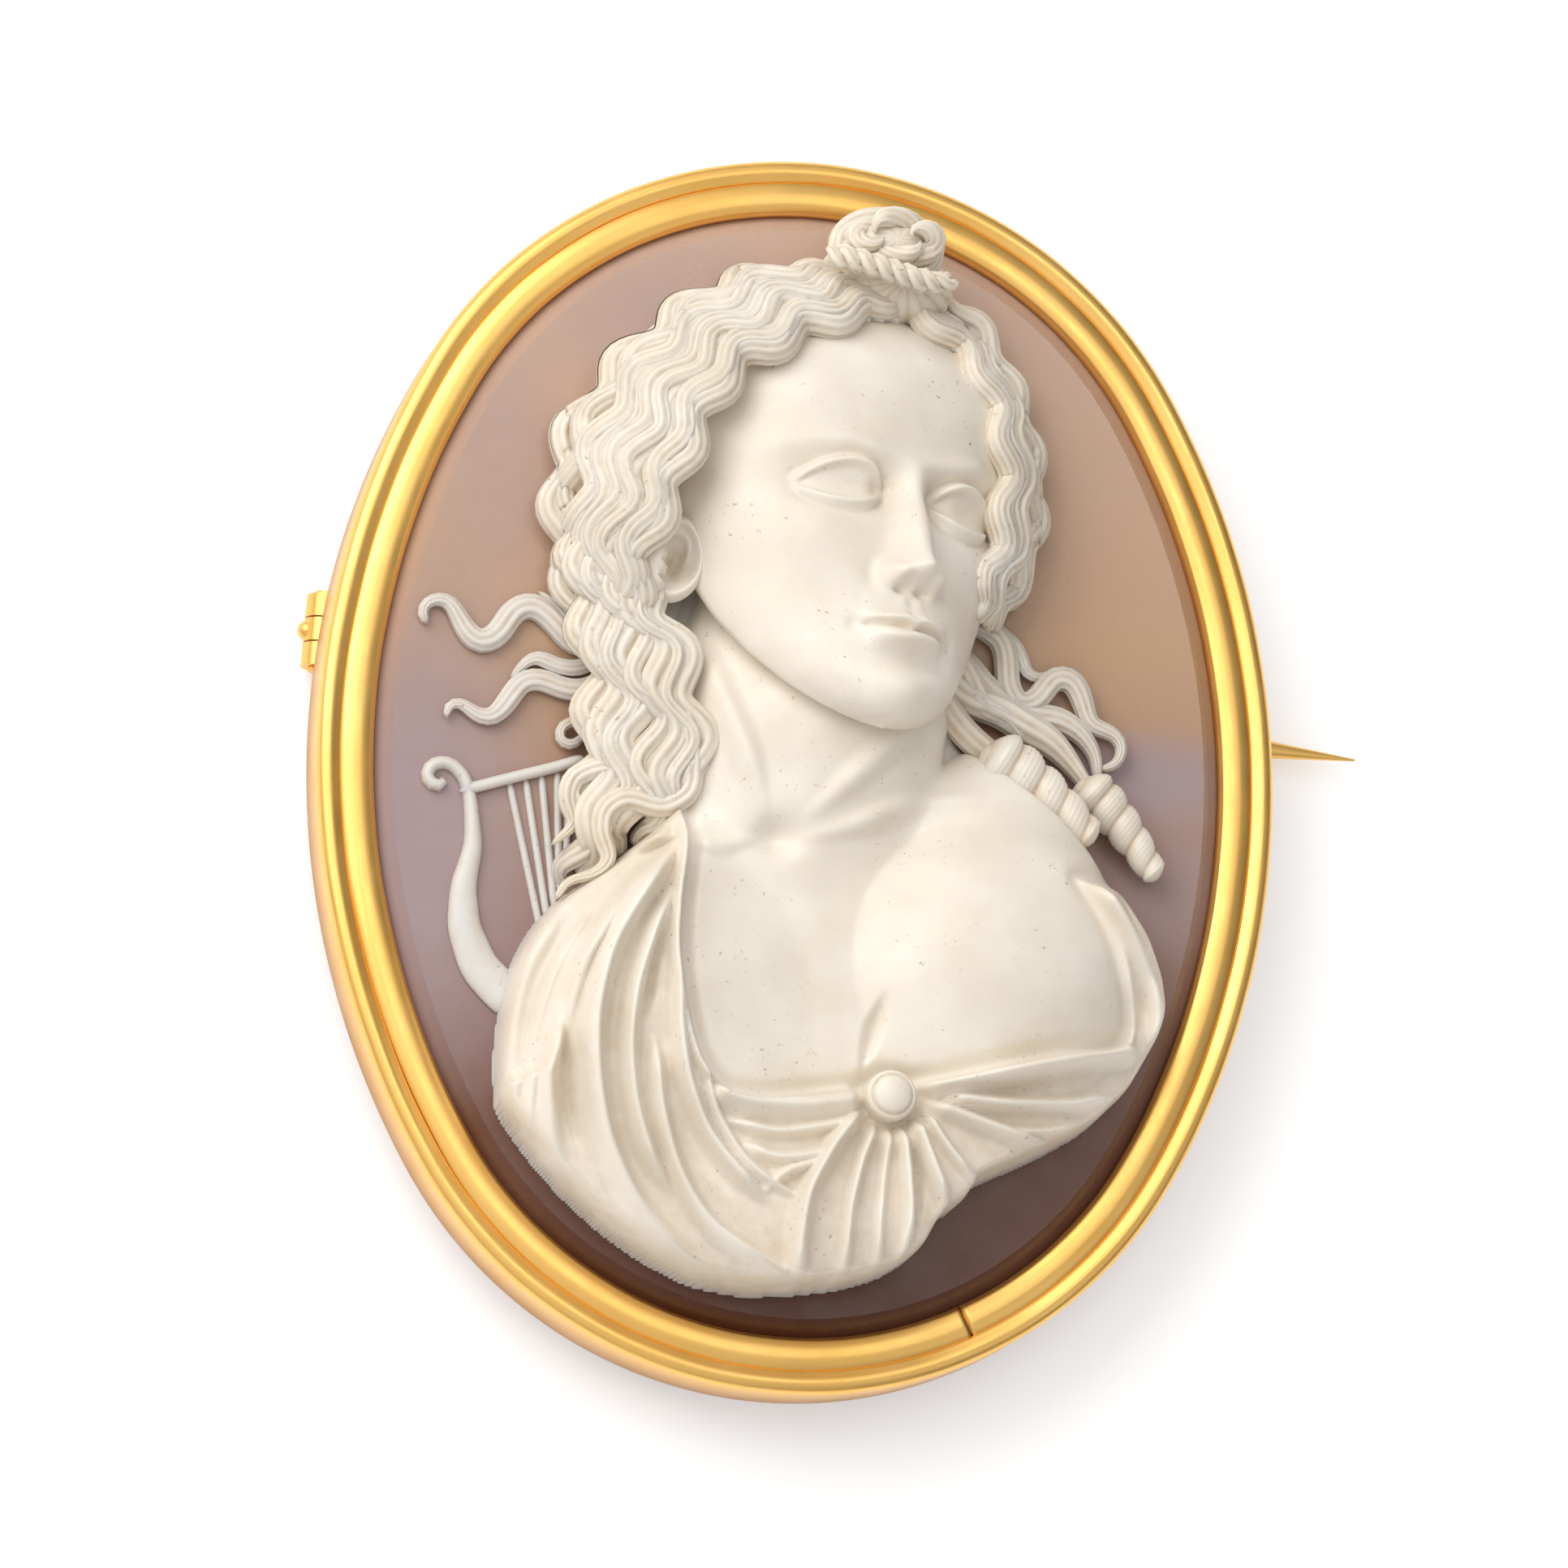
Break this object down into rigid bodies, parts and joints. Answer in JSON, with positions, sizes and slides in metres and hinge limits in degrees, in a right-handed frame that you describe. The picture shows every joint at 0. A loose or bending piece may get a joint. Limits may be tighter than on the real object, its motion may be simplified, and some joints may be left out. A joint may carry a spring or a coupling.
{
  "type": "cameo brooch",
  "caption": "Oval cameo brooch: a high-relief bust carved in banded stone, in a plain gold frame with a hinged pin and hook catch.",
  "frame": {"origin": "under the middle of the whole brooch, on the surface that it lies on", "axes": "+Z out of the brooch's face, +Y to the top of the bust, +X to the viewer's right, along the pin"},
  "size_m": [0.0488, 0.056, 0.0145],
  "materials": {
    "gold_rim": "softly polished yellow gold",
    "gold_bezel": "softly polished yellow gold",
    "gold_pin": "polished gold wire",
    "gold_rivet": "polished gold",
    "stone_brown": "polished translucent brown banded stone",
    "stone_white": "satin carved cream-white banded stone"
  },
  "bodies": {
    "brooch": {"rim": "gold_rim", "bezel": "gold_bezel", "cameo_ground": "stone_brown", "cameo_figure": "stone_white", "hinge_rivet": "gold_rivet"},
    "pin": {"pin_stem": "gold_pin"}
  },
  "joints": [
    {"name": "pin_swing", "type": "hinge", "parent": "brooch", "child": "pin", "pos_m": [-0.02322, 0.0062, 0.001], "axis": [0.0732, 0.9973, 0], "range_deg": [0, 100]}
  ]
}
